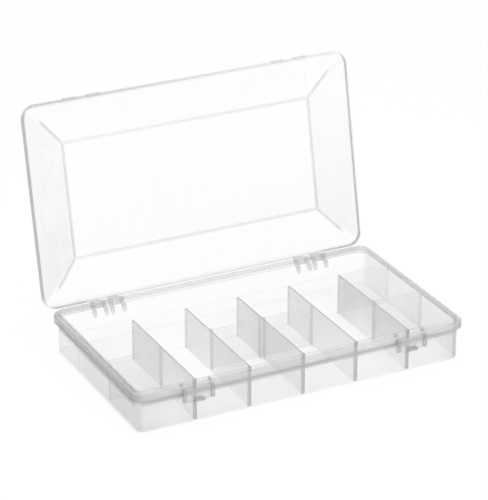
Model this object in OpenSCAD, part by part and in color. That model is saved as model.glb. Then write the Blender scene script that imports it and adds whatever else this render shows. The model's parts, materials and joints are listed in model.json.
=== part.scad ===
// Clear moulded bead organizer: a compartment tray, a hinged lid with a raised panel,
// two swing clasps and four lift-out dividers. The lid stands open against its stop.
// Origin at the middle of the flat base, +X along the length, +Y to the hinges, +Z up.

/* [Tray] */
// Length of the tray over its rim
box_length = 275; // [240:1:320]
// Depth of the tray over its rim
box_depth = 157; // [140:1:190]
// Height of the rim's top face above the base
rim_z = 32; // [26:0.5:45]
// Thickness of the tray's outer walls
wall_t = 1.3; // [1:0.1:1.8]
// Thickness of the tray's floor
floor_t = 1.5; // [1:0.1:2.5]
// How far the rim stands out from the wall
rim_overhang = 3.3; // [2.6:0.1:4.5]
// Height of the rim's outer band
rim_band_h = 5.6; // [4:0.1:7]
// Thickness of the rim's flange and band
rim_t = 1.2; // [0.9:0.1:1.5]
// Height of the upstand inside the rim
upstand_h = 2.2; // [1.2:0.1:2.8]
// Corner radius of the rim, seen from above
rim_corner_r = 10; // [8:0.5:14]
// Radius where the walls turn into the base
base_edge_r = 2; // [1.6:0.1:2.6]

/* [Compartments] */
// Number of columns in the front part of the tray
columns = 6; // [6:1:6]
// Clear depth of the long compartment at the back
rear_bay_d = 40.3; // [30:0.5:55]
// Thickness of the moulded partitions
partition_t = 1.3; // [1:0.1:1.8]
// Distance of the outer columns' dividers from the inside of the front wall
outer_divider_y = 53.6; // [35:0.2:60]
// Distance of the middle columns' dividers from the inside of the front wall
middle_divider_y = 65.8; // [45:0.2:75]
// Thickness of a lift-out divider
divider_t = 1.2; // [0.9:0.1:1.6]
// Height of a guide rib off its wall
rib_h = 1.6; // [1:0.1:2]
// Thickness of a guide rib
rib_t = 1.1; // [0.8:0.1:1.6]
// Clearance of a divider in its guides
divider_clear = 0.3; // [0.2:0.05:0.4]

/* [Lid] */
// Angle at which the lid stands open
lid_open = 101.7; // [92:0.1:106]
// Height of the lid's side skirt
lid_skirt_h = 4.8; // [4.5:0.1:6]
// How far the closed lid's skirt laps down around the rim
lid_lap = 0.7; // [0.4:0.1:0.8]
// Thickness of the lid's skirt and panel
lid_t = 1; // [0.9:0.05:1.3]
// Thickness of the flat lip around the raised panel
lip_t = 1.4; // [1.2:0.1:1.6]
// Width of the flat lip
lip_w = 2.2; // [1.9:0.1:4]
// Height of the raised panel above the lip
panel_rise = 7; // [4:0.25:10]
// Inset of the panel's flat from the lid's ends
panel_inset_x = 32.5; // [22:0.5:40]
// Inset of the panel's flat from the lid's front and back
panel_inset_y = 33.5; // [24:0.5:42]
// Width of the bend where the panel's slopes turn into its flat
panel_bend = 2.4; // [1:0.1:4]
// Gap between the lid's skirt and the rim
lid_clear = 0.2; // [0.15:0.05:0.3]

/* [Hinges] */
// Column line that carries the hinges and clasps, counted from each end
fitting_column = 1; // [1:1:2]
// Width of a hinge over its outer ears
hinge_w = 27; // [23:0.5:32]
// Thickness of a hinge ear
hinge_ear_t = 2.2; // [1.8:0.1:2.8]
// Clear gap between the two inner ears
hinge_mid_gap = 3; // [2:0.1:5]
// Distance of the hinge axis behind the rim
hinge_back = 3.2; // [3:0.05:3.6]
// Depth of the hinge axis below the rim's top face
hinge_drop = 3.9; // [3.7:0.1:4.3]
// Radius of a hinge knuckle
knuckle_r = 2.5; // [2.2:0.05:2.55]
// Radius of the hinge pins moulded on the knuckles
hinge_pin_r = 1.2; // [1:0.05:1.4]
// Thickness of the arm from a knuckle to the lid's lip
arm_t = 1.2; // [0.9:0.1:1.6]
// Height of the heel that stops the open lid
heel_h = 2; // [1.5:0.1:2.3]
// Depth of the hinge and clasp ears below the rim's top face
ear_h = 11.5; // [10:0.5:15]
// Width of a hinge ear's foot on the wall
ear_foot = 1; // [0.6:0.1:2]

/* [Clasps] */
// Width of a clasp station over its ears
clasp_w = 25; // [22:0.5:32]
// Thickness of a clasp ear
clasp_ear_t = 2.2; // [1.9:0.1:3]
// Width of the part of an ear that hangs below the rim
lug_w = 2.3; // [1.8:0.1:2.6]
// Chamfer on an ear's corners
ear_chamfer = 0.8; // [0.4:0.1:1.1]
// Radius of a clasp's barrel
barrel_r = 1.3; // [1.2:0.05:1.5]
// Radius of a clasp's pivot pins
clasp_pin_r = 0.8; // [0.7:0.05:0.9]
// Depth of the clasp axis below the rim's top face
clasp_drop = 2.8; // [2.6:0.1:3.4]
// Thickness of a clasp's plate
clasp_t = 1.2; // [1:0.1:1.25]
// Width of a clasp's hook
hook_w = 8; // [6:0.2:10]
// Thickness of a clasp's hook
hook_t = 2.2; // [1.8:0.1:2.8]
// Chamfer on the hook's outer edge
hook_chamfer = 1; // [0.5:0.1:1.4]
// How far the hook laps over the lid's lip
hook_lap = 2.2; // [1.5:0.1:2.2]
// Length of a guide ridge on the lid's edge
ridge_l = 11; // [6:0.5:14]
// Height of a guide ridge
ridge_h = 0.8; // [0.5:0.1:1.2]
// Running clearance of a pin in its bore
pin_clear = 0.05; // [0.03:0.01:0.08]
// Side clearance of moving pieces between their ears
side_clear = 0.3; // [0.2:0.05:0.4]

/* [Hidden] */
$fn = 48;
eps = 0.01;

clear_tint = [0.90, 0.92, 0.93, 0.45];
insert_tint = [0.82, 0.86, 0.90, 0.6];
fitting_tint = [0.75, 0.80, 0.85, 0.8];

// Tray outlines, as insets from the rim's outline
wall_outer = rim_overhang;
wall_inner = rim_overhang + wall_t;
band_z = rim_z - rim_band_h;
flange_z = rim_z - rim_t;
divide_z = rim_z + upstand_h;

// Inside of the tray
inner_l = box_length - 2 * wall_inner;
inner_d = box_depth - 2 * wall_inner;
pitch = inner_l / columns;
inner_front = -inner_d / 2;
inner_back = inner_d / 2;
rear_wall_y = inner_back - rear_bay_d - partition_t;
outer_div_y = inner_front + outer_divider_y;
middle_div_y = inner_front + middle_divider_y;
slot_w = divider_t + 2 * divider_clear;

// Hinge axis, behind the rim's back face
rim_front = -box_depth / 2;
rim_back = box_depth / 2;
hinge_y = rim_back + hinge_back;
hinge_z = rim_z - hinge_drop;
ear_low_z = rim_z - ear_h;

// Lid, drawn closed and then turned open about the hinge axis
lid_out = lid_clear + lid_t;
lid_l = box_length + 2 * lid_out;
lid_d = box_depth + 2 * lid_out;
lid_corner_r = rim_corner_r + lid_out;
skirt_z = rim_z - lid_lap;
lip_z = skirt_z + lid_skirt_h;
panel_z = lip_z + panel_rise;
bend_drop = 0.25;
panel_post_r = 0.8;
slope_shift = 0.15;
ear_gap = 0.4;
ear_top_z = skirt_z - ear_gap;

// Clasp axis, in front of the rim, and the reach from it to the lid's lip
clasp_y = -lid_out - ridge_h - lid_clear;
clasp_z = rim_z - clasp_drop;
hook_gap = 0.15;
hook_reach = lip_z + hook_gap - clasp_z;
hook_tip = hook_lap - lid_out - clasp_y;
ridge_gap = hook_w + 2 * side_clear;
ridge_foot = 1;
web_t = 0.4;
ear_wall = 0.4;

function line_x(k) = -inner_l / 2 + k * pitch;
fitting_x = line_x(columns - fitting_column);

// ---- shared shapes ----

// Rectangle with round corners, centred
module round_rect(l, d, r) {
    square([l - 2 * r, d], center = true);
    square([l, d - 2 * r], center = true);
    for (x = [-1, 1], y = [-1, 1])
        translate([x * (l / 2 - r), y * (d / 2 - r)]) circle(r);
}

// The rim's outline drawn in by an inset
module tray_outline(inset) {
    round_rect(box_length - 2 * inset, box_depth - 2 * inset, rim_corner_r - inset);
}

// A wall that follows the rim's outline, between two insets and two heights
module tray_band(outer, inner, low, high) {
    translate([0, 0, low]) linear_extrude(high - low) difference() {
        tray_outline(outer);
        tray_outline(inner);
    }
}

// Section of the tray's wall and floor, from a corner's centre out to the wall's face
module shell_section(corner) {
    difference() {
        union() {
            square([corner - base_edge_r, flange_z]);
            translate([0, base_edge_r]) square([corner, flange_z - base_edge_r]);
            translate([corner - base_edge_r, base_edge_r]) circle(base_edge_r);
        }
        translate([-wall_t, floor_t]) square([corner, flange_z]);
    }
}

// Extrudes a side view, drawn in Y and Z, across X from low to high
module across_x(low, high) {
    translate([low, 0, 0]) rotate([90, 0, 90]) linear_extrude(high - low) children();
}

// Pair of guide ribs on a wall face at x, standing out towards dir
module guide_ribs(x, y, dir, top) {
    for (s = [-1, 1])
        translate([x + dir * rib_h / 2, y + s * (slot_w + rib_t) / 2, (floor_t + top) / 2])
            cube([rib_h, rib_t, top - floor_t], center = true);
}

// ---- tray ----

module tray_shell() {
    corner = rim_corner_r - wall_outer;
    run_x = box_length - 2 * rim_corner_r;
    run_y = box_depth - 2 * rim_corner_r;
    color(clear_tint) {
        translate([-run_x / 2, -run_y / 2, 0]) cube([run_x, run_y, floor_t]);
        for (turn = [0, 180]) rotate(turn) {
            translate([run_x / 2, run_y / 2, 0]) rotate([90, 0, 0])
                linear_extrude(run_y) shell_section(corner);
            translate([-run_x / 2, run_y / 2, 0]) rotate([90, 0, 90])
                linear_extrude(run_x) shell_section(corner);
            translate([run_x / 2, run_y / 2, 0])
                rotate_extrude(angle = 90) shell_section(corner);
            translate([-run_x / 2, run_y / 2, 0]) rotate(90)
                rotate_extrude(angle = 90) shell_section(corner);
        }
        guide_ribs(-inner_l / 2, outer_div_y, 1, flange_z);
        guide_ribs(inner_l / 2, outer_div_y, -1, flange_z);
    }
}

module tray_rim() {
    color(clear_tint) {
        tray_band(0, wall_inner, flange_z, rim_z);
        tray_band(0, rim_t, band_z, flange_z);
        tray_band(wall_outer, wall_inner, rim_z, divide_z);
    }
}

module rear_wall() {
    color(clear_tint) translate([-inner_l / 2, rear_wall_y, floor_t])
        cube([inner_l, partition_t, divide_z - floor_t]);
}

// Moulded partition on column line k, with the guides that face a divider
module cross_wall(k) {
    x = line_x(k);
    color(clear_tint) {
        translate([x - partition_t / 2, inner_front, floor_t])
            cube([partition_t, rear_wall_y - inner_front, divide_z - floor_t]);
        if (k == 1) guide_ribs(x - partition_t / 2, outer_div_y, -1, divide_z);
        if (k == 2 || k == 3) guide_ribs(x + partition_t / 2, middle_div_y, 1, divide_z);
        if (k == 3 || k == 4) guide_ribs(x - partition_t / 2, middle_div_y, -1, divide_z);
        if (k == 5) guide_ribs(x + partition_t / 2, outer_div_y, 1, divide_z);
    }
}

// Lift-out divider in column c, held in the guides on both sides of it
module divider(c, y) {
    left = line_x(c - 1) + (c == 1 ? 0 : partition_t / 2) + divider_clear;
    right = line_x(c) - (c == columns ? 0 : partition_t / 2) - divider_clear;
    color(insert_tint) translate([left, y - divider_t / 2, floor_t])
        cube([right - left, divider_t, divide_z - floor_t]);
}

// ---- hinges ----

// Side view of a hinge ear, drawn about the hinge axis
module hinge_ear_view() {
    band = -hinge_back;
    wall = -hinge_back - rim_overhang;
    difference() {
        union() {
            circle(knuckle_r);
            polygon([
                [band, ear_top_z - hinge_z], [0, knuckle_r], [knuckle_r, 0],
                [wall + ear_foot, ear_low_z - hinge_z], [wall, ear_low_z - hinge_z],
                [wall, band_z - hinge_z], [band, band_z - hinge_z]
            ]);
        }
        circle(hinge_pin_r + pin_clear);
    }
}

module hinge_ears(x) {
    outer = hinge_w / 2;
    inner = hinge_mid_gap / 2;
    color(clear_tint) translate([x, hinge_y, hinge_z]) for (s = [0, 1]) mirror([s, 0, 0]) {
        across_x(outer - hinge_ear_t, outer) hinge_ear_view();
        across_x(inner, inner + hinge_ear_t) hinge_ear_view();
    }
}

// Side view of a knuckle and its arm to the closed lid's skirt, about the hinge axis
module knuckle_view() {
    lip = lip_z - hinge_z;
    skirt = lid_out - hinge_back;
    circle(knuckle_r);
    polygon([
        [skirt, skirt_z - hinge_z], [skirt, lip], [skirt + arm_t, lip],
        [knuckle_r, arm_t], [knuckle_r, 0], [0, 0]
    ]);
}

// Heel that meets the rim's back face when the lid is open, drawn in that pose
module stop_heel_view() {
    face = lid_clear - hinge_back;
    polygon([[0, 0], [face, 0], [face, -heel_h], [0, -knuckle_r]]);
}

module open_lid() {
    translate([0, hinge_y, hinge_z]) rotate([-lid_open, 0, 0])
        translate([0, -hinge_y, -hinge_z]) children();
}

module lid_knuckles(x) {
    outer = hinge_w / 2 - hinge_ear_t - side_clear;
    inner = hinge_mid_gap / 2 + hinge_ear_t + side_clear;
    color(clear_tint) translate([x, hinge_y, hinge_z]) for (s = [0, 1]) mirror([s, 0, 0]) {
        across_x(inner, outer) {
            rotate(-lid_open) knuckle_view();
            stop_heel_view();
        }
        across_x(hinge_mid_gap / 2, hinge_w / 2) circle(hinge_pin_r);
    }
}

// ---- lid ----

// Four corner posts of one level of the raised panel, the outline drawn in by two insets
module panel_posts(inset_x, inset_y, r, z) {
    for (x = [-1, 1], y = [-1, 1])
        translate([x * (lid_l / 2 - inset_x - r), y * (lid_d / 2 - inset_y - r), z - eps])
            cylinder(h = eps, r = r);
}

// Raised panel from the lip's level up to its flat, with a soft bend at the top of the slopes
module raised_panel(foot_z, top_z, shift) {
    foot = lip_w + shift;
    hull() {
        panel_posts(foot, foot, lid_corner_r - lip_w, foot_z);
        panel_posts(panel_inset_x - panel_bend / 2 + shift, panel_inset_y - panel_bend / 2 + shift,
                    panel_post_r, top_z - bend_drop);
        panel_posts(panel_inset_x + panel_bend / 2 + shift, panel_inset_y + panel_bend / 2 + shift,
                    panel_post_r, top_z);
    }
}

module lid_shell() {
    cavity_z = lip_z - lip_t;
    color(clear_tint) open_lid() difference() {
        union() {
            translate([0, 0, skirt_z]) linear_extrude(lid_skirt_h)
                round_rect(lid_l, lid_d, lid_corner_r);
            raised_panel(lip_z, panel_z, 0);
        }
        translate([0, 0, skirt_z - lid_t]) linear_extrude(cavity_z - skirt_z + lid_t)
            round_rect(lid_l - 2 * lid_t, lid_d - 2 * lid_t, lid_corner_r - lid_t);
        raised_panel(cavity_z, panel_z - lid_t, slope_shift);
    }
}

// Two ridges on the lid's free edge that keep a clasp's hook between them
module catch_ridges(x) {
    edge = -lid_d / 2;
    color(fitting_tint) open_lid() for (s = [-1, 1])
        translate([x + s * (ridge_gap + ridge_l) / 2, 0, 0]) across_x(-ridge_l / 2, ridge_l / 2)
            polygon([
                [edge, skirt_z + ridge_foot], [edge - ridge_h, skirt_z + ridge_foot + ridge_h],
                [edge - ridge_h, lip_z], [edge, lip_z + ridge_h],
                [edge + ridge_foot, lip_z + ridge_h], [edge + ridge_foot, lip_z], [edge, lip_z]
            ]);
}

// ---- clasps ----

// Side view of a clasp ear, drawn from the rim's front face: a lug that hangs below the rim
module clasp_ear_view() {
    nose = clasp_y - barrel_r - ear_wall;
    difference() {
        polygon([
            [0, ear_top_z], [nose + ear_chamfer, ear_top_z], [nose, ear_top_z - ear_chamfer],
            [nose, ear_low_z + ear_chamfer], [nose + ear_chamfer, ear_low_z],
            [nose + lug_w, ear_low_z], [nose + lug_w, band_z - ear_chamfer],
            [nose + lug_w + ear_chamfer, band_z], [0, band_z]
        ]);
        translate([clasp_y, clasp_z]) circle(clasp_pin_r + pin_clear);
    }
}

// Side view of the web that ties an ear to the rim's upstand, across the flange
module flange_web_view() {
    polygon([[web_t, rim_z], [rim_overhang - web_t, divide_z], [rim_overhang, divide_z],
             [rim_overhang, rim_z]]);
}

module clasp_ears(x) {
    outer = clasp_w / 2;
    color(clear_tint) translate([x, rim_front, 0]) for (s = [0, 1]) mirror([s, 0, 0])
        across_x(outer - clasp_ear_t, outer) {
            clasp_ear_view();
            flange_web_view();
        }
}

// Clasp as it hangs, drawn about its axis: barrel, plate, hook and the pins in the ears
module clasp(x) {
    half = clasp_w / 2 - clasp_ear_t - side_clear;
    foot = hook_reach + hook_t;
    color(fitting_tint) translate([x, rim_front + clasp_y, clasp_z]) {
        across_x(-half, half) {
            circle(barrel_r);
            translate([0, -foot]) square([clasp_t, foot]);
        }
        across_x(-hook_w / 2, hook_w / 2)
            polygon([
                [0, -hook_reach], [-hook_tip, -hook_reach],
                [-hook_tip, -foot + hook_chamfer], [-hook_tip + hook_chamfer, -foot], [0, -foot]
            ]);
        across_x(-clasp_w / 2, clasp_w / 2) circle(clasp_pin_r);
    }
}

tray_shell();
tray_rim();
rear_wall();
cross_wall(1);  // cross_wall_1
cross_wall(2);  // cross_wall_2
cross_wall(3);  // cross_wall_3
cross_wall(4);  // cross_wall_4
cross_wall(5);  // cross_wall_5
divider(1, outer_div_y);  // divider_1
divider(3, middle_div_y);  // divider_3
divider(4, middle_div_y);  // divider_4
divider(6, outer_div_y);  // divider_6
hinge_ears(-fitting_x);  // hinge_ears_left
hinge_ears(fitting_x);  // hinge_ears_right
clasp_ears(-fitting_x);  // clasp_ears_left
clasp_ears(fitting_x);  // clasp_ears_right
lid_shell();
lid_knuckles(-fitting_x);  // lid_knuckles_left
lid_knuckles(fitting_x);  // lid_knuckles_right
catch_ridges(-fitting_x);  // catch_ridges_left
catch_ridges(fitting_x);  // catch_ridges_right
clasp(-fitting_x);  // clasp_left
clasp(fitting_x);  // clasp_right
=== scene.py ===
"""Clear moulded bead organizer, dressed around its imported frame. Everything is in metres."""
import json
import math

import bmesh
import bpy
from mathutils import Matrix, Vector


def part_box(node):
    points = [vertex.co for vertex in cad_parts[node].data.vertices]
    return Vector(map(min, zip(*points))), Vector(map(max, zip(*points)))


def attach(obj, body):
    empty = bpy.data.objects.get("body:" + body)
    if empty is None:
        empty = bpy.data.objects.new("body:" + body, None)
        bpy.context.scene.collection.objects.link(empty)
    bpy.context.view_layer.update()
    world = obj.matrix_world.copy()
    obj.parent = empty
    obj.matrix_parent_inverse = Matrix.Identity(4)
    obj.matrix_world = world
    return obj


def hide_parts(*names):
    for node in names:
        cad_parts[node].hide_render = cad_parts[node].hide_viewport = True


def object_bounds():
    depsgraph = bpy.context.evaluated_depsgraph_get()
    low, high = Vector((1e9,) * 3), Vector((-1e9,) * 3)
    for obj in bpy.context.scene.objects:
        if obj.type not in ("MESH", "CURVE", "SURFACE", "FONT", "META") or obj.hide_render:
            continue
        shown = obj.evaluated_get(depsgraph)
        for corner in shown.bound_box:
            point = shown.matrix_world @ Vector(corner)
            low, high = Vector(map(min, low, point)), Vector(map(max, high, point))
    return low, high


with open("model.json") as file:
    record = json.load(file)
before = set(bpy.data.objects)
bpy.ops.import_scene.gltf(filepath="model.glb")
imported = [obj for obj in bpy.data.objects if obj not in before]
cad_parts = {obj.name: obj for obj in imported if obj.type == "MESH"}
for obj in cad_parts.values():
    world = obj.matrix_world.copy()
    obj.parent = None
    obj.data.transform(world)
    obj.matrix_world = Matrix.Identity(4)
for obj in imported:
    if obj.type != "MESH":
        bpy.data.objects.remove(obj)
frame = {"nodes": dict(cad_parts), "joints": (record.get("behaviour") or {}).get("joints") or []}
cad_box = [list(corner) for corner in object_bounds()]
scene = bpy.context.scene

# ---------------------------------------------------------------- camera

CAMERA_AZIMUTH = math.radians(-26.78)
CAMERA_ELEVATION = math.radians(24.66)
CAMERA_DISTANCE = 1.927
CAMERA_AIM = Vector((0.0060, 0.0342, 0.0723))
CAMERA_LENS = 181.5


def add_camera():
    to_camera = Vector((
        math.sin(CAMERA_AZIMUTH) * math.cos(CAMERA_ELEVATION),
        -math.cos(CAMERA_AZIMUTH) * math.cos(CAMERA_ELEVATION),
        math.sin(CAMERA_ELEVATION),
    ))
    data = bpy.data.cameras.new("studio_camera")
    data.lens = CAMERA_LENS
    data.clip_end = 20
    camera = bpy.data.objects.new("studio_camera", data)
    camera.location = CAMERA_AIM + to_camera * CAMERA_DISTANCE
    camera.rotation_euler = to_camera.to_track_quat("Z", "Y").to_euler()
    scene.collection.objects.link(camera)
    scene.camera = camera


# ---------------------------------------------------------------- the lid, as it lies when closed

LID_OPEN = math.radians(101.7)
HINGE = Vector(next(joint for joint in frame["joints"] if joint["name"] == "lid_hinge")["pos_m"])
CLOSE_LID = Matrix.Rotation(LID_OPEN, 3, "X")

# Half sizes and middle of the flat panel, half sizes of the lip, and how the corner bends run out: where
# the painted shade lines of the lid lie
PANEL_HALF = (0.1060, 0.0455)
PANEL_MIDDLE = (0.0008, 0.0007)
LIP_HALF = (0.1364, 0.0774)
CORNER_RUN = Vector((0.66, 0.75))
CORNER_RUN_END = 0.031
CORNER_RUN_FADE = CORNER_RUN_END * 0.75
# How the painted shade along the lip's edge grows outwards, and how it weakens to the right and at the
# hinge
LIP_EDGE = (-0.0022, 0.0018)
LIP_TO_RIGHT = (-0.137, 0.137, 1.0, 0.30)
LIP_TO_HINGE = (0.070, 0.078, 1.0, 0.25)
GATE_RADIUS = 0.0075


# ---------------------------------------------------------------- node helpers

def feed(tree, socket, value):
    """Links another node's output to the socket, or sets a plain value on it."""
    if isinstance(value, bpy.types.NodeSocket):
        tree.links.new(value, socket)
    else:
        socket.default_value = value


def maths(tree, operation, *values):
    node = tree.nodes.new("ShaderNodeMath")
    node.operation = operation
    for socket, value in zip(node.inputs, values):
        feed(tree, socket, value)
    return node.outputs[0]


def ramp(tree, value, from_low, from_high, to_low=0.0, to_high=1.0):
    """A soft step from one number to another."""
    node = tree.nodes.new("ShaderNodeMapRange")
    node.interpolation_type = "SMOOTHSTEP"
    for label, number in (("From Min", from_low), ("From Max", from_high),
                          ("To Min", to_low), ("To Max", to_high), ("Value", value)):
        feed(tree, node.inputs[label], number)
    return node.outputs["Result"]


def object_point(tree):
    return tree.nodes.new("ShaderNodeTexCoord").outputs["Object"]


def stretched(tree, point, scale, turn=0.0):
    """The point's coordinates scaled along each axis, and turned a little about all three."""
    node = tree.nodes.new("ShaderNodeMapping")
    node.inputs["Scale"].default_value = scale
    node.inputs["Rotation"].default_value = (turn, turn * 0.6, turn * 1.3)
    tree.links.new(point, node.inputs["Vector"])
    return node.outputs["Vector"]


def noise(tree, point, scale, detail):
    node = tree.nodes.new("ShaderNodeTexNoise")
    node.inputs["Detail"].default_value = detail
    feed(tree, node.inputs["Scale"], scale)
    tree.links.new(point, node.inputs["Vector"])
    return node.outputs["Fac"]


def new_group(name, inputs, outputs):
    tree = bpy.data.node_groups.new(name, "ShaderNodeTree")
    for label, kind, value in inputs:
        socket = tree.interface.new_socket(label, in_out="INPUT", socket_type="NodeSocket" + kind)
        socket.default_value = value
    for label, kind in outputs:
        tree.interface.new_socket(label, in_out="OUTPUT", socket_type="NodeSocket" + kind)
    return tree, tree.nodes.new("NodeGroupInput").outputs, tree.nodes.new("NodeGroupOutput").inputs


def use_group(tree, group, **values):
    node = tree.nodes.new("ShaderNodeGroup")
    node.node_tree = group
    for label, value in values.items():
        feed(tree, node.inputs[label.replace("_", " ")], value)
    return node.outputs


# ---------------------------------------------------------------- shared effects

CLOUD_STRETCH = (0.6, 1.0, 1.0)
CLOUD_SHARE = 0.65
STREAK_STRETCH = (5.0, 1.0, 1.0)
STREAK_TURN = 0.2
STREAK_SHARE = 0.35
FLOW_CONTRAST = 4.0


def build_flow_haze():
    """Slow cloudy change in the plastic, with streaks along the way it filled the mould."""
    tree, given, out = new_group(
        "flow_haze",
        [("Scale", "Float", 14.0), ("Amount", "Float", 0.2)],
        [("Factor", "Float")],
    )
    point = object_point(tree)
    clouds = noise(tree, stretched(tree, point, CLOUD_STRETCH), given["Scale"], 3.0)
    streaks = noise(tree, stretched(tree, point, STREAK_STRETCH, STREAK_TURN), given["Scale"], 2.0)
    both = maths(tree, "ADD", maths(tree, "MULTIPLY", clouds, CLOUD_SHARE),
                 maths(tree, "MULTIPLY", streaks, STREAK_SHARE))
    swing = maths(tree, "MULTIPLY", maths(tree, "SUBTRACT", both, 0.5),
                  maths(tree, "MULTIPLY", given["Amount"], FLOW_CONTRAST))
    tree.links.new(maths(tree, "ADD", 1.0, swing), out["Factor"])
    return tree


# Three sets of hair scratches, each drawn out along its own way: scales and turn
HAIRS = (((900, 25, 25), 0.5), ((30, 1100, 30), 1.1), ((28, 28, 1000), 2.1))
HAIR_LIMITS = (0.70, 0.76)
RUB_SCALE = 28.0
RUB_LIMITS = (0.50, 0.72)
UNRUBBED_SHARE = 0.25
SPECKS_PER_METRE = 420
SPECK_LIMITS = (0.05, 0.11)
DUSTY_SCALE = 90.0
DUSTY_LIMITS = (0.56, 0.66)


def build_handling_marks():
    """Hair scratches, rubbed patches and specks of dust from use."""
    tree, given, out = new_group(
        "handling_marks",
        [("Scratches", "Float", 0.5), ("Dust", "Float", 0.5)],
        [("Scratch", "Float"), ("Rub", "Float"), ("Speck", "Float")],
    )
    point = object_point(tree)
    hairs = 0.0
    for scale, turn in HAIRS:
        line = ramp(tree, noise(tree, stretched(tree, point, scale, turn), 1.0, 1.0), *HAIR_LIMITS)
        hairs = maths(tree, "MAXIMUM", hairs, line)
    rub = ramp(tree, noise(tree, point, RUB_SCALE, 4.0), *RUB_LIMITS)
    tree.links.new(maths(tree, "MULTIPLY", maths(tree, "MULTIPLY", hairs, given["Scratches"]),
                         maths(tree, "ADD", UNRUBBED_SHARE, rub)), out["Scratch"])
    tree.links.new(rub, out["Rub"])
    cells = tree.nodes.new("ShaderNodeTexVoronoi")
    cells.inputs["Scale"].default_value = SPECKS_PER_METRE
    tree.links.new(point, cells.inputs["Vector"])
    dots = ramp(tree, cells.outputs["Distance"], *SPECK_LIMITS, 1.0, 0.0)
    dusty = ramp(tree, noise(tree, point, DUSTY_SCALE, 2.0), *DUSTY_LIMITS)
    tree.links.new(maths(tree, "MULTIPLY", maths(tree, "MULTIPLY", dots, dusty), given["Dust"]),
                   out["Speck"])
    return tree


def build_painted_shade_mix():
    """Painted shade where light runs along inside a wall and comes out dim, at rims, ends and bends;
    below 0, painted light.
    """
    tree, given, out = new_group(
        "painted_shade_blend",
        [("Density", "Float", 0.0), ("Haze", "Float", 0.1), ("Edge Haze", "Float", 0.8),
         ("Tint", "Color", (0.7, 0.7, 0.7, 1)), ("Edge Tint", "Color", (0.2, 0.2, 0.2, 1))],
        [("Haze", "Float"), ("Tint", "Color")],
    )
    span = maths(tree, "SUBTRACT", given["Edge Haze"], given["Haze"])
    haze = maths(tree, "ADD", given["Haze"], maths(tree, "MULTIPLY", span, given["Density"]))
    tree.links.new(haze, out["Haze"])
    mix = tree.nodes.new("ShaderNodeMix")
    mix.data_type = "RGBA"
    tree.links.new(given["Density"], mix.inputs["Factor"])
    # The mix node's sockets 6 and 7 are its two colours, and its output 2 is their mix
    tree.links.new(given["Tint"], mix.inputs[6])
    tree.links.new(given["Edge Tint"], mix.inputs[7])
    tree.links.new(mix.outputs[2], out["Tint"])
    return tree


WAVE_SCALE = 35.0
GRAIN_SHARE = 0.3


def build_mould_skin():
    """Faint unevenness of a polished mould's face, for a Bump node."""
    tree, given, out = new_group(
        "mould_skin", [("Scale", "Float", 260.0)], [("Height", "Float")])
    point = object_point(tree)
    waves = noise(tree, point, WAVE_SCALE, 1.0)
    grain = noise(tree, point, given["Scale"], 2.0)
    grain = maths(tree, "MULTIPLY", grain, GRAIN_SHARE)
    tree.links.new(maths(tree, "ADD", waves, grain), out["Height"])
    return tree


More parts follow.
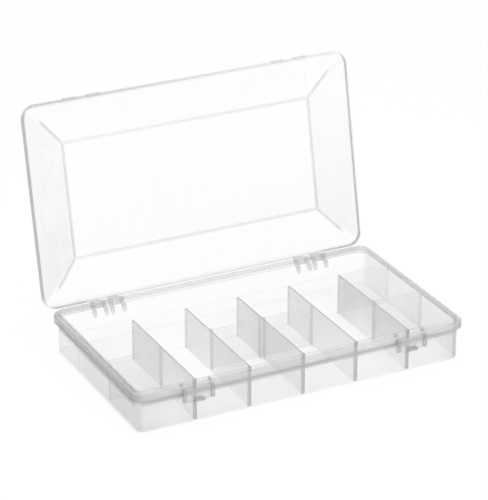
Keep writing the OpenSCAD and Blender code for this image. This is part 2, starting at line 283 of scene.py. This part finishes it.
def build_panel_bends():
    """The lid's lines: painted shade round the flat panel, out to its corners and along the lip's edge,
    and the gate's mark.
    """
    tree, given, out = new_group(
        "panel_bends", [("Width", "Float", 0.0026), ("Corner Width", "Float", 0.0022)],
        [("Ends", "Float"), ("Sides", "Float"), ("Corner", "Float"), ("Lip", "Float"), ("Gate", "Float")])
    turn = tree.nodes.new("ShaderNodeVectorRotate")
    turn.rotation_type = "X_AXIS"
    turn.inputs["Center"].default_value = HINGE
    turn.inputs["Angle"].default_value = LID_OPEN
    tree.links.new(object_point(tree), turn.inputs["Vector"])
    split = tree.nodes.new("ShaderNodeSeparateXYZ")
    tree.links.new(turn.outputs["Vector"], split.inputs[0])
    off_x = maths(tree, "SUBTRACT", split.outputs["X"], PANEL_MIDDLE[0])
    off_y = maths(tree, "SUBTRACT", split.outputs["Y"], PANEL_MIDDLE[1])
    beyond_x = maths(tree, "SUBTRACT", maths(tree, "ABSOLUTE", off_x), PANEL_HALF[0])
    beyond_y = maths(tree, "SUBTRACT", maths(tree, "ABSOLUTE", off_y), PANEL_HALF[1])
    off_panel = maths(tree, "ABSOLUTE", maths(tree, "MAXIMUM", beyond_x, beyond_y))
    bend = ramp(tree, off_panel, 0.0, given["Width"], 1.0, 0.0)
    at_end = maths(tree, "GREATER_THAN", beyond_x, beyond_y)
    tree.links.new(maths(tree, "MULTIPLY", bend, at_end), out["Ends"])
    tree.links.new(maths(tree, "MULTIPLY", bend, maths(tree, "SUBTRACT", 1.0, at_end)), out["Sides"])

    across = maths(tree, "SUBTRACT", maths(tree, "MULTIPLY", beyond_x, CORNER_RUN.y),
                   maths(tree, "MULTIPLY", beyond_y, CORNER_RUN.x))
    along = maths(tree, "ADD", maths(tree, "MULTIPLY", beyond_x, CORNER_RUN.x),
                  maths(tree, "MULTIPLY", beyond_y, CORNER_RUN.y))
    line = ramp(tree, maths(tree, "ABSOLUTE", across), 0.0, given["Corner Width"], 1.0, 0.0)
    inside = maths(tree, "MULTIPLY", ramp(tree, along, 0.0, 0.001),
                   ramp(tree, along, CORNER_RUN_FADE, CORNER_RUN_END, 1.0, 0.0))
    tree.links.new(maths(tree, "MULTIPLY", line, inside), out["Corner"])

    to_edge_x = maths(tree, "SUBTRACT", maths(tree, "ABSOLUTE", split.outputs["X"]), LIP_HALF[0])
    to_edge_y = maths(tree, "SUBTRACT", maths(tree, "ABSOLUTE", split.outputs["Y"]), LIP_HALF[1])
    near_edge = ramp(tree, maths(tree, "MAXIMUM", to_edge_x, to_edge_y), *LIP_EDGE)
    weight = maths(tree, "MULTIPLY", ramp(tree, split.outputs["X"], *LIP_TO_RIGHT),
                   ramp(tree, split.outputs["Y"], *LIP_TO_HINGE))
    tree.links.new(maths(tree, "MULTIPLY", near_edge, weight), out["Lip"])

    flat = tree.nodes.new("ShaderNodeCombineXYZ")
    tree.links.new(split.outputs["X"], flat.inputs["X"])
    tree.links.new(split.outputs["Y"], flat.inputs["Y"])
    length = tree.nodes.new("ShaderNodeVectorMath")
    length.operation = "LENGTH"
    tree.links.new(flat.outputs[0], length.inputs[0])
    tree.links.new(ramp(tree, length.outputs["Value"], 0.0, GATE_RADIUS, 1.0, 0.0), out["Gate"])
    return tree


FLOW_HAZE = build_flow_haze()
HANDLING_MARKS = build_handling_marks()
PAINTED_SHADE_MIX = build_painted_shade_mix()
MOULD_SKIN = build_mould_skin()
PANEL_BENDS = build_panel_bends()


# ---------------------------------------------------------------- clear plastics

# What the full painted shade looks like, as tint and haze
PAINTED_SHADE_TINT = 0.16
PAINTED_SHADE_HAZE = 0.80
# How strong the painted shade of the lid's lines is, and the gate's mark
LINE_SHADE_AND_GATE_MARK = {"Ends": 0.42, "Sides": 0.26, "Corner": 0.42, "Lip": 0.42, "Gate": 0.045}
FLOW_SCALE = 14.0
DUST = 0.4
SCRATCH_HAZE = 0.05
SPECK_HAZE = 0.12
MOST_HAZE = 0.95
# Where a wall is seen flatter than this cosine, the way through it is taken as no longer
LEAST_COSINE = 0.12
ROUGHNESS = 0.22
RUB_ROUGHNESS = 0.18
SCRATCH_ROUGHNESS = 0.3


def grey(level):
    return level, level, level, 1


def clear_plastic(name, tint, haze, flow=0.15, scratches=0.5, lines=False):
    """haze is the share of light that one face of a wall stops, seen square on."""
    material = bpy.data.materials.new(name)
    material.use_nodes = True
    tree = material.node_tree
    shader = tree.nodes["Principled BSDF"]
    shader.inputs["IOR"].default_value = 1.49

    # Painted shade and light of each face, read from its mesh
    shade_attribute = tree.nodes.new("ShaderNodeAttribute")
    shade_attribute.attribute_name = "painted_shade_and_light"
    shade_amount = shade_attribute.outputs["Fac"]
    # The lid's painted shade lines and its gate's mark
    if lines:
        bends = use_group(tree, PANEL_BENDS)
        for label, weight in LINE_SHADE_AND_GATE_MARK.items():
            shade_amount = maths(tree, "MAXIMUM", shade_amount, maths(tree, "MULTIPLY", bends[label], weight))
    flowing = use_group(tree, FLOW_HAZE, Scale=FLOW_SCALE, Amount=flow)
    marks = use_group(tree, HANDLING_MARKS, Scratches=scratches, Dust=DUST)
    edge = use_group(tree, PAINTED_SHADE_MIX, Density=shade_amount, Haze=haze, Edge_Haze=PAINTED_SHADE_HAZE,
                     Tint=grey(tint), Edge_Tint=grey(PAINTED_SHADE_TINT))
    tree.links.new(edge["Tint"], shader.inputs["Base Color"])
    # The plastic's own milkiness, with the painted shade added to it
    milkiness_and_painted_shade = maths(tree, "MULTIPLY", edge["Haze"], flowing["Factor"])
    milkiness_and_painted_shade = maths(tree, "ADD", milkiness_and_painted_shade, maths(tree, "MULTIPLY", marks["Scratch"], SCRATCH_HAZE))
    milkiness_and_painted_shade = maths(tree, "ADD", milkiness_and_painted_shade, maths(tree, "MULTIPLY", marks["Speck"], SPECK_HAZE))
    milkiness_and_painted_shade = maths(tree, "MINIMUM", milkiness_and_painted_shade, MOST_HAZE)

    # The more a wall is seen at a slant, the longer the way through it and the less light passes
    slant = tree.nodes.new("ShaderNodeLayerWeight")
    slant.inputs["Blend"].default_value = 0.5
    cosine = maths(tree, "SUBTRACT", 1, slant.outputs["Facing"])
    way = maths(tree, "DIVIDE", 1, maths(tree, "MAXIMUM", cosine, LEAST_COSINE))
    passed = maths(tree, "POWER", maths(tree, "SUBTRACT", 1, milkiness_and_painted_shade), way)
    tree.links.new(maths(tree, "SUBTRACT", 1, passed), shader.inputs["Alpha"])

    rough = maths(tree, "ADD", ROUGHNESS, maths(tree, "MULTIPLY", marks["Rub"], RUB_ROUGHNESS))
    rough = maths(tree, "ADD", rough, maths(tree, "MULTIPLY", marks["Scratch"], SCRATCH_ROUGHNESS))
    tree.links.new(rough, shader.inputs["Roughness"])
    bump = tree.nodes.new("ShaderNodeBump")
    bump.inputs["Strength"].default_value = 0.12
    bump.inputs["Distance"].default_value = 0.0003
    tree.links.new(use_group(tree, MOULD_SKIN)["Height"], bump.inputs["Height"])
    tree.links.new(bump.outputs["Normal"], shader.inputs["Normal"])
    return material


# One clear plastic in every part; tints and hazes differ only to paint tone: rim, fittings and hinges
# darker, as painted shade, the lid paler, as painted light
TRAY_WALLS = clear_plastic("tray_walls", tint=0.64, haze=0.085)
TRAY_RIM = clear_plastic("tray_rim", tint=0.54, haze=0.14)
PARTITIONS = clear_plastic("partitions", tint=0.64, haze=0.085)
INSERTS = clear_plastic("inserts", tint=0.64, haze=0.09, scratches=0.8)
LID = clear_plastic("lid", tint=0.70, haze=0.052, flow=0.45, scratches=0.7, lines=True)
FITTINGS = clear_plastic("fittings", tint=0.58, haze=0.16)
HINGES = clear_plastic("hinges", tint=0.58, haze=0.19)


# ---------------------------------------------------------------- moulded pieces

X, Y, Z = 0, 1, 2
ROOT_DEPTH = 0.0004
# Fillets at a partition's ends: how long they are, and how far they spread at the front and the back
FILLET = 0.0006
FRONT_SPREAD = 0.0009
BACK_SPREAD = 0.0004
# Vertices this close are one, or lie on the same side of a piece's box
WELD = 1e-6
ON_SIDE = 2e-5
# Faces that meet at less than the first angle become one, and edges over the second are rounded
FLAT_ANGLE = math.radians(1.5)
SHARP_ANGLE = math.radians(35)
ROUNDING_STEPS = 2


def cut_faces(shape, axis, place):
    """Cuts the faces along a plane across an axis, for the painted shade and light to change there."""
    across = [0.0, 0.0, 0.0]
    across[axis] = 1.0
    bmesh.ops.bisect_plane(shape, geom=shape.verts[:] + shape.edges[:] + shape.faces[:],
                           plane_co=[place * share for share in across], plane_no=across)


def run_in(shape, node, axis, sign, depth):
    """Carries the faces at one side of a wall into the wall or floor that it is moulded to."""
    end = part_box(node)[sign > 0][axis]
    for vertex in shape.verts:
        if abs(vertex.co[axis] - end) < ON_SIDE:
            vertex.co[axis] += sign * depth


def flare(shape, node, sign, depth, spread):
    """A fillet where a partition's end meets the wall across it."""
    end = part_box(node)[sign > 0].y
    cut_faces(shape, Y, end - sign * depth)
    rim = [vertex for vertex in shape.verts if abs(vertex.co.y - end) < ON_SIDE]
    middle = sum(vertex.co.x for vertex in rim) / len(rim)
    for vertex in rim:
        vertex.co.x += math.copysign(spread, vertex.co.x - middle)


def moulded(node, edge_radius, roots, fillets, cuts):
    """A copy of the node's solid with its sharp edges rounded as the mould leaves them."""
    shape = bmesh.new()
    shape.from_mesh(frame["nodes"][node].data)
    bmesh.ops.remove_doubles(shape, verts=shape.verts, dist=WELD)
    bmesh.ops.dissolve_limit(shape, angle_limit=FLAT_ANGLE, verts=shape.verts, edges=shape.edges)
    for sign, depth, spread in fillets:
        flare(shape, node, sign, depth, spread)
    for axis, sign in roots:
        run_in(shape, node, axis, sign, ROOT_DEPTH)
    if edge_radius:
        sharp = [edge for edge in shape.edges
                 if edge.is_manifold and edge.calc_face_angle() > SHARP_ANGLE]
        bmesh.ops.bevel(shape, geom=sharp, offset=edge_radius, segments=ROUNDING_STEPS, profile=0.5,
                        affect="EDGES", clamp_overlap=True)
    for axis, places in cuts:
        for place in places:
            cut_faces(shape, axis, place)
    mesh = bpy.data.meshes.new(node + "_moulded")
    shape.to_mesh(mesh)
    shape.free()
    piece = bpy.data.objects.new(node + "_moulded", mesh)
    scene.collection.objects.link(piece)
    for face in mesh.polygons:
        face.use_smooth = False
    return piece


def paint_shade_and_light(piece, rule):
    """Painted shade and light: how much dimmer, above 0, or clearer, below 0, each face is drawn than a
    plain wall.
    """
    mesh = piece.data
    layer = mesh.attributes.new("painted_shade_and_light", "FLOAT", "CORNER")
    for face in mesh.polygons:
        for loop in face.loop_indices:
            corner = mesh.vertices[mesh.loops[loop].vertex_index].co
            layer.data[loop].value = rule(face.normal, face.center, corner)


def dress(node, body, material, rule, edge_radius=0.0, roots=(), fillets=(), cuts=()):
    piece = moulded(node, edge_radius, roots, fillets, cuts)
    piece.data.materials.append(material)
    paint_shade_and_light(piece, rule)
    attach(piece, body)
    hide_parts(node)


# ---------------------------------------------------------------- painted shade and light: where the plastic is drawn dim or clear

# A table of painted shade gives places, then the shade painted at each, painted light below 0. Where
# nothing else is said, the places run along X, from the tray's left end to its right.

def between(places, values, place):
    """The value at a place, on straight lines between the given ones, and level beyond them."""
    for k in range(1, len(places)):
        if place <= places[k]:
            share = (place - places[k - 1]) / (places[k] - places[k - 1])
            return values[k - 1] + (values[k] - values[k - 1]) * max(share, 0.0)
    return values[-1]


def to_front(point):
    """How far ahead a point lies: about 0.12 at the tray's back and 0.88 at its front."""
    return 0.5 - point.y / (cad_box[1][1] - cad_box[0][1])


def growing(start, growth, point):
    """A painted shade that rises by growth, times how far ahead the point lies."""
    return start + growth * to_front(point)


def facing(top=0.0, under=0.0, front=0.0, back=0.0, left=0.0, right=0.0):
    """A rule of painted shade and light that goes by the way a face looks, for how light falls on each
    side.
    """
    def rule(normal, _centre, _corner):
        return (normal.x ** 2 * (right if normal.x > 0 else left)
                + normal.y ** 2 * (back if normal.y > 0 else front)
                + normal.z ** 2 * (top if normal.z > 0 else under))
    return rule


# Beyond these a face belongs to an end wall, to a front corner, or to the front or back wall
END_WALL = 0.125
CORNER = 0.128
LONG_WALL = 0.07
# A face whose normal's height is below the first stands upright, above the second it lies level
UPRIGHT = 0.5
LEVEL = 0.95

# Painted shade of the partitions' broad faces at the back, in the middle and at the front of the tray
PARTITION_FACES = {1: (0.03, 0.06, 0.02), 2: (0.03, 0.025, 0.02), 3: (-0.05, 0.065, 0.005),
                   4: (0.04, 0.035, -0.01), 5: (0.15, 0.075, 0.035)}
# Painted light from below: how much lighter these faces are drawn at the floor than at their top edge,
# the share of their height below that edge where they are as given above, and how strong the fade is
# along Y, front to back
PARTITION_FADE = {1: 0.13, 2: 0.05, 3: 0.07, 4: 0.07, 5: 0.16}
PARTITION_FADE_MIDDLE = 0.25
PARTITION_FADE_ALONG = ((-0.075, -0.04, 0.0, 0.04), (0.5, 1.0, 0.8, 0.0))
# Painted shade on the partitions' end faces: how near the end a face counts, and the shade at the front
# and the back
PARTITION_END = FILLET + 0.0002
PARTITION_FRONT_END = 0.65
PARTITION_BACK_END = 0.25


def partition_rule(k):
    """Painted shade on the partitions, dim where light runs out of their ends and their top edge."""
    low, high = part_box(f"cross_wall_{k}")

    def rule(normal, centre, corner):
        if abs(normal.z) < UPRIGHT:
            if centre.y < low.y + PARTITION_END:
                return PARTITION_FRONT_END
            if centre.y > high.y - PARTITION_END:
                return PARTITION_BACK_END
        broad = between((0.0, 0.5, 1.0), PARTITION_FACES[k], to_front(corner))
        depth = (high.z - corner.z) / (high.z - low.z) - PARTITION_FADE_MIDDLE
        broad -= PARTITION_FADE[k] * depth * between(*PARTITION_FADE_ALONG, corner.y)
        return facing(top=0.60, front=0.09, back=0.09, left=broad, right=broad)(normal, centre, corner)
    return rule


# Painted shade and light on the floor from left to right, what it becomes at the back, and how fast it
# changes towards the front
FLOOR = ((-0.1375, -0.095, -0.047, 0.0, 0.047, 0.095, 0.1375),
         (0.03, -0.01, -0.11, -0.065, -0.075, -0.06, -0.03))
FLOOR_AT_BACK = -0.09
FLOOR_GROWTH = 1.6
# Painted light on faces that look to the front or back: those of the back wall, and those of neither long
# wall
BACK_WALL = -0.08
CROSSWAYS = -0.03
# Start and growth of the painted shade on the end walls, and then the shade on their front corners
LEFT_WALL = (-0.14, 0.26)
RIGHT_WALL = (-0.02, 0.06)
LEFT_FRONT_CORNER = 0.25
RIGHT_FRONT_CORNER = 0.60
# Painted shade and light of the front wall, from left to right
FRONT_WALL = ((-0.1375, -0.128, -0.095, -0.047, 0.0, 0.047, 0.095, 0.115, 0.128, 0.1375),
              (0.50, 0.20, 0.08, 0.18, 0.09, -0.07, -0.06, 0.02, 0.20, 0.80))
# The shade under the rim, on both faces of the front wall and on the outside of the left wall, as
# heights and densities, and how strong each is from left to right and from front to back
FRONT_SHADE = ((0.0206, 0.0222, 0.0238, 0.0248, 0.0266, 0.0272), (0.09, 0.42, 0.66, 0.46, 0.05, 0.0))
FRONT_SHADE_ALONG = ((0.0, 0.047), (1.0, 0.85))
LEFT_SHADE = ((0.0186, 0.0206, 0.0222, 0.0248, 0.0266), (0.03, 0.36, 0.50, 0.25, 0.0))
LEFT_SHADE_ALONG = ((-0.07, 0.07), (1.1, 0.7))
# Painted shade along the foot of the upright walls, up to this height
BASE_EDGE = 0.12
BASE_EDGE_HEIGHT = 0.002
# Along Y, where the shell's faces are cut for the change from back to front
SHELL_STEPS = (-0.06, -0.03, 0.0, 0.03)


def shell_rule(normal, centre, corner):
    """Painted shade and light on the shell: the floor and the long walls are clearer in the middle than
    at the ends, and dim to the front.
    """
    floor = between(*FLOOR, corner.x)
    floor = FLOOR_AT_BACK + (floor - FLOOR_AT_BACK) * min(FLOOR_GROWTH * to_front(corner), 1.0)
    front = back = CROSSWAYS if centre.y < LONG_WALL else BACK_WALL
    left = right = growing(*LEFT_WALL, corner)
    if centre.x > END_WALL:
        left = right = growing(*RIGHT_WALL, corner)
    if centre.x < -END_WALL:
        left = max(left, between(*LEFT_SHADE, corner.z) * between(*LEFT_SHADE_ALONG, corner.y))
    if centre.y < -LONG_WALL:
        shade = between(*FRONT_SHADE, corner.z) * between(*FRONT_SHADE_ALONG, corner.x)
        front = back = max(between(*FRONT_WALL, corner.x), shade)
        if abs(centre.x) > CORNER:
            left = right = LEFT_FRONT_CORNER if centre.x < 0 else RIGHT_FRONT_CORNER
    edge = BASE_EDGE if centre.z < BASE_EDGE_HEIGHT and abs(normal.z) < LEVEL else 0.0
    return edge + facing(top=floor, under=floor, front=front, back=back, left=left, right=right)(
        normal, centre, corner)


REAR_PARTITION = ((0.088, 0.094), (-0.11, 0.02))


def rear_wall_rule(normal, centre, corner):
    """Painted light keeps the long partition clear, but for its last bay on the right."""
    broad = between(*REAR_PARTITION, corner.x)
    return facing(top=0.12, left=0.05, right=0.05, front=broad, back=broad)(normal, centre, corner)


# Below the first a face is the underside of the rim's band, above the second it is on the upstand
BAND_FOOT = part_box("tray_rim")[0].z + 0.0006
UPSTAND_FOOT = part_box("tray_rim")[1].z - 0.0018
# How much painted light the upstand gets over the band below it, at the left end and at the front
LEFT_UPSTAND_PAINTED_LIGHT = 0.12
FRONT_UPSTAND_PAINTED_LIGHT = 0.13
# How the painted shade line at the foot of the rim's band fades, as heights above the foot and shares
FOOT_LINE = ((0.0, 0.0012, 0.0026), (1.0, 0.4, 0.0))
# Painted shade on the underside of the rim's band: from left to right, its growth, and at the front
BAND_UNDERSIDE = ((-0.13, 0.13), (0.60, 0.05))
UNDERSIDE_GROWTH = 0.15
UNDERSIDE_FRONT = 0.50
# Start and growth of the painted shade on the end bands, and how much more the left one gets at foot and
# front
LEFT_BAND_OUTSIDE = (0.24, 0.17)
LEFT_BAND_INSIDE = (0.06, 0.08)
LEFT_BAND_FOOT = 0.14
LEFT_BAND_FRONT = 0.12
RIGHT_BAND_OUTSIDE = (0.0, 0.03)
RIGHT_BAND_FRONT = 0.60
# Painted light on the clearest faces of the band, painted shade at the front band's foot, and shade and
# light along the front and back bands
PAINTED_LIGHT_BAND = -0.05
FRONT_BAND_FOOT = 0.08
FRONT_BAND = ((-0.137, -0.128, 0.04, 0.09, 0.128, 0.137), (0.34, 0.20, 0.15, 0.09, 0.05, 0.60))
BACK_BAND = ((-0.10, -0.085, 0.085, 0.10), (0.13, -0.06, -0.06, 0.12))
# Along Y, where the rim's faces are cut for the change from back to front
RIM_STEPS = (-0.05, 0.0, 0.05)
# Painted shade and light on the rim's top: start and growth, more at the back, and from left to right
RIM_TOP_GROWTH = (-0.04, 0.07)
RIM_TOP_BACK = 0.08
RIM_TOP = ((-0.137, -0.1345, -0.128, 0.06, 0.13), (0.60, 0.14, 0.02, 0.02, -0.08))


def rim_underside(corner):
    if corner.y > LONG_WALL:
        return PAINTED_LIGHT_BAND
    if corner.y < -LONG_WALL:
        return UNDERSIDE_FRONT
    return growing(between(*BAND_UNDERSIDE, corner.x), UNDERSIDE_GROWTH, corner)


def rim_rule(normal, centre, corner):
    """Painted shade on the rim, along its lower edge, most at its front and on the left."""
    if centre.z < BAND_FOOT:
        return rim_underside(corner)
    foot = between(*FOOT_LINE, corner.z - BAND_FOOT)
    at_front = corner.y < -LONG_WALL
    at_back = corner.y > LONG_WALL
    on_upstand = centre.z > UPSTAND_FOOT
    if corner.x < 0:
        end = growing(*LEFT_BAND_INSIDE, corner)
        if normal.x < 0:
            end = growing(*LEFT_BAND_OUTSIDE, corner) + LEFT_BAND_FOOT * foot
        end += LEFT_BAND_FRONT if at_front else 0.0
        end -= LEFT_UPSTAND_PAINTED_LIGHT if on_upstand else 0.0
    elif at_front:
        end = RIGHT_BAND_FRONT
    else:
        end = growing(*RIGHT_BAND_OUTSIDE, corner) if normal.x > 0 else PAINTED_LIGHT_BAND
    side = PAINTED_LIGHT_BAND
    if at_front:
        side = between(*FRONT_BAND, corner.x) + FRONT_BAND_FOOT * foot
        side -= FRONT_UPSTAND_PAINTED_LIGHT if on_upstand else 0.0
    if at_back:
        side = between(*BACK_BAND, corner.x)
    top = growing(*RIM_TOP_GROWTH, corner) + between(*RIM_TOP, corner.x)
    top += RIM_TOP_BACK if at_back else 0.0
    return facing(top=top, left=end, right=end, front=side, back=side)(normal, centre, corner)


# By its normal, below the first a face is the lid's skirt, and above the second a slope of its panel
SKIRT = 0.8
SLOPE = 0.12
LID_CUTS = (-0.106, -0.100, 0.100, 0.106)
# Painted shade on the lid's skirt at the hinge, rising towards the ends
HINGE_SKIRT = (LID_CUTS[2:], (0.12, 0.42))
# Painted shade and light on the flat panel, along Y, from the free edge of the lid to its hinge
LID_PANEL = ((-0.045, 0.045), (-0.015, 0.035))
# Painted shade where the lip turns down, light and shade on the slopes at the free edge and the hinge,
# and more shade on the end slopes
LIP_TURN = 0.08
FREE_EDGE_SLOPE = -0.02
HINGE_SLOPE = 0.01
END_SLOPES_DIMMER = 0.12


def lid_rule(normal, centre, corner):
    """Painted shade, seen on the closed lid: a dim skirt, most so on the left and at the hinge's ends,
    and slopes dimmer at the ends.
    """
    normal = CLOSE_LID @ normal
    centre = CLOSE_LID @ (centre - HINGE) + HINGE
    corner = CLOSE_LID @ (corner - HINGE) + HINGE
    if abs(normal.z) < SKIRT:
        if centre.y > LONG_WALL:
            return between(*HINGE_SKIRT, abs(corner.x))
        return facing(left=0.50, right=0.10, front=0.22)(normal, centre, corner)
    if abs(centre.x) > LIP_HALF[0] or abs(centre.y) > LIP_HALF[1]:
        return LIP_TURN
    if abs(normal.y) > SLOPE:
        return FREE_EDGE_SLOPE if corner.y < 0 else HINGE_SLOPE
    plain = between(*LID_PANEL, corner.y)
    return plain + END_SLOPES_DIMMER if abs(normal.x) > SLOPE else plain


# Painted shade on the thick hook at the foot of a clasp's plate: its half width, height and shade
HOOK_HALF = 0.0041
HOOK_HEIGHT = 0.0030
HOOK = 0.48


def clasp_rule(node):
    """Painted shade: the thick hook at the foot of the plate is drawn dim. Gives the rule and the cuts
    round the hook.
    """
    low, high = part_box(node)
    middle = (low.x + high.x) / 2
    plain = facing(under=0.3, left=0.3, right=0.3, front=0.13, back=0.09)

    def rule(normal, centre, corner):
        if centre.z < low.z + HOOK_HEIGHT and abs(centre.x - middle) < HOOK_HALF:
            return HOOK
        return plain(normal, centre, corner)
    return rule, ((Z, (low.z + HOOK_HEIGHT,)), (X, (middle - HOOK_HALF, middle + HOOK_HALF)))


# ---------------------------------------------------------------- the box's pieces

def add_tray():
    # Each piece carries the painted shade and light of its rule
    dress("tray_shell", "tray", TRAY_WALLS, shell_rule,
          cuts=((X, FRONT_WALL[0][1:-1]), (Y, SHELL_STEPS),
                (Z, sorted({*FRONT_SHADE[0], *LEFT_SHADE[0]}))))
    dress("tray_rim", "tray", TRAY_RIM, rim_rule, edge_radius=0.00035,
          cuts=((Z, [BAND_FOOT + height for height in FOOT_LINE[0][1:]]), (Y, RIM_STEPS),
                (X, BACK_BAND[0])))
    dress("rear_wall", "tray", PARTITIONS, rear_wall_rule, edge_radius=0.00025,
          roots=((X, -1), (X, 1), (Z, -1)), cuts=((X, REAR_PARTITION[0]),))
    for k in range(1, 6):
        dress(f"cross_wall_{k}", "tray", PARTITIONS, partition_rule(k),
              roots=((Y, -1), (Y, 1), (Z, -1)),
              fillets=((-1, FILLET, FRONT_SPREAD), (1, FILLET, BACK_SPREAD)),
              cuts=((Y, PARTITION_FADE_ALONG[0][1:]),))
    for side in ("left", "right"):
        dress(f"hinge_ears_{side}", "tray", HINGES,
              facing(left=0.04, right=0.04, back=0.1), edge_radius=0.0002, roots=((Y, -1),))
        dress(f"clasp_ears_{side}", "tray", FITTINGS,
              facing(left=0.35, right=0.35, front=0.5, top=0.3, under=0.6), edge_radius=0.0002)


def add_dividers():
    for k in (1, 3, 4, 6):
        dress(f"divider_{k}", f"divider_{k}", INSERTS,
              facing(top=0.25, left=0.06, right=0.06, front=0.05, back=0.05), edge_radius=0.00025)


def add_lid():
    dress("lid_shell", "lid", LID, lid_rule, edge_radius=0.0003, cuts=((X, LID_CUTS),))
    for side in ("left", "right"):
        dress(f"lid_knuckles_{side}", "lid", HINGES, facing(left=0.05, right=0.05),
              edge_radius=0.0002)
        dress(f"catch_ridges_{side}", "lid", FITTINGS, facing(), edge_radius=0.0001)


def add_clasps():
    for side in ("left", "right"):
        node = f"clasp_{side}"
        rule, cuts = clasp_rule(node)
        dress(node, node, FITTINGS, rule, edge_radius=0.0002, cuts=cuts)


# ---------------------------------------------------------------- studio

WORLD_LIGHT = 0.45
FLOOR_GLOW = 0.86
FLOOR_HALF = 3
FLOOR_HEIGHT = -0.0005
# Each lamp's name, place, aim, size and power
LAMPS = (("overhead", (0.0, 0.25, 1.8), (0, 0.1, 0), 2.2, 26),
         ("front", (-0.2, -1.7, 0.7), (0, 0, 0.08), 1.2, 23))


def add_lamp(name, place, aim, size, power):
    data = bpy.data.lights.new(name, "AREA")
    data.energy = power
    data.size = size
    lamp = bpy.data.objects.new(name, data)
    lamp.location = place
    lamp.rotation_euler = (Vector(place) - Vector(aim)).to_track_quat("Z", "Y").to_euler()
    scene.collection.objects.link(lamp)


def seen_share(tree):
    """1 for what the camera sees straight, in a reflection or through clear plastic, else 0."""
    path = tree.nodes.new("ShaderNodeLightPath")
    straight = maths(tree, "MAXIMUM", path.outputs["Is Camera Ray"], path.outputs["Is Glossy Ray"])
    return maths(tree, "MAXIMUM", straight, path.outputs["Is Transmission Ray"])


def add_backdrop():
    """White to the eye, and a plain level of light on the box."""
    world = bpy.data.worlds.new("studio")
    scene.world = world
    world.use_nodes = True
    tree = world.node_tree
    strength = tree.nodes.new("ShaderNodeMapRange")
    strength.inputs["To Min"].default_value = WORLD_LIGHT
    strength.inputs["To Max"].default_value = 1.0
    tree.links.new(seen_share(tree), strength.inputs["Value"])
    back = tree.nodes["Background"]
    back.inputs["Color"].default_value = (1, 1, 1, 1)
    tree.links.new(strength.outputs[0], back.inputs["Strength"])


def add_floor():
    """Nearly white to the eye, with the box's shadow."""
    mesh = bpy.data.meshes.new("floor")
    corners = [(x * FLOOR_HALF, y * FLOOR_HALF, FLOOR_HEIGHT)
               for x, y in ((-1, -1), (1, -1), (1, 1), (-1, 1))]
    mesh.from_pydata(corners, [], [(0, 1, 2, 3)])
    floor = bpy.data.objects.new("floor", mesh)
    scene.collection.objects.link(floor)
    material = bpy.data.materials.new("floor_white")
    material.use_nodes = True
    tree = material.node_tree
    shader = tree.nodes["Principled BSDF"]
    shader.inputs["Base Color"].default_value = (0.92, 0.92, 0.92, 1)
    shader.inputs["Roughness"].default_value = 0.9
    shader.inputs["Specular IOR Level"].default_value = 0.1
    glow = tree.nodes.new("ShaderNodeEmission")
    mix = tree.nodes.new("ShaderNodeMixShader")
    tree.links.new(maths(tree, "MULTIPLY", seen_share(tree), FLOOR_GLOW), mix.inputs[0])
    tree.links.new(shader.outputs[0], mix.inputs[1])
    tree.links.new(glow.outputs[0], mix.inputs[2])
    tree.links.new(mix.outputs[0], tree.nodes["Material Output"].inputs[0])
    mesh.materials.append(material)


add_camera()
add_tray()
add_dividers()
add_lid()
add_clasps()
add_backdrop()
add_floor()
for lamp_setting in LAMPS:
    add_lamp(*lamp_setting)
scene.cycles.transparent_max_bounces = 64
scene.view_settings.view_transform = "Standard"
